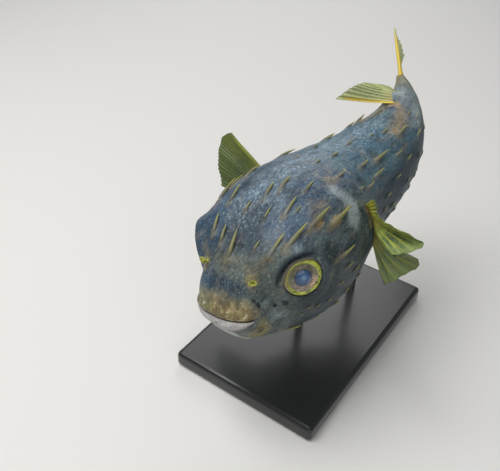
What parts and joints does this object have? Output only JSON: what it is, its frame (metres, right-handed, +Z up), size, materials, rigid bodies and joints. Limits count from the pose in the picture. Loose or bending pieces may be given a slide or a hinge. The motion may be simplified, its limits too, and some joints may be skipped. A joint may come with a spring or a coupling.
{
  "type": "porcupine pufferfish display model",
  "caption": "Still life-size porcupine pufferfish, uninflated, swimming nose down with its tail swung to its right, held by rods over a flat display base.",
  "frame": {"origin": "centre of the underside of the stand's base", "axes": "+Z up; the fish faces -Y, and +X is to its left"},
  "size_m": [0.165, 0.2588, 0.1931],
  "materials": {
    "skin": "damp satin fish skin, slate blue and grey, finely speckled",
    "eye": "wet gloss eye, yellow-green ring round a blue pupil",
    "fin": "thin moist yellow fin with raised rays",
    "base": "black satin acrylic",
    "rod": "brushed stainless steel"
  },
  "bodies": {
    "root": {"head": "skin", "lower_jaw": "skin", "trunk": "skin", "tail_stalk": "skin", "eye_left": "eye", "eye_right": "eye", "nasal_tentacle_left": "fin", "nasal_tentacle_right": "fin", "pectoral_fin_left": "fin", "pectoral_fin_right": "fin", "dorsal_fin": "fin", "anal_fin": "fin", "caudal_fin": "fin", "stand_base": "base", "stand_rod_front": "rod", "stand_rod_rear": "rod"}
  },
  "joints": []
}
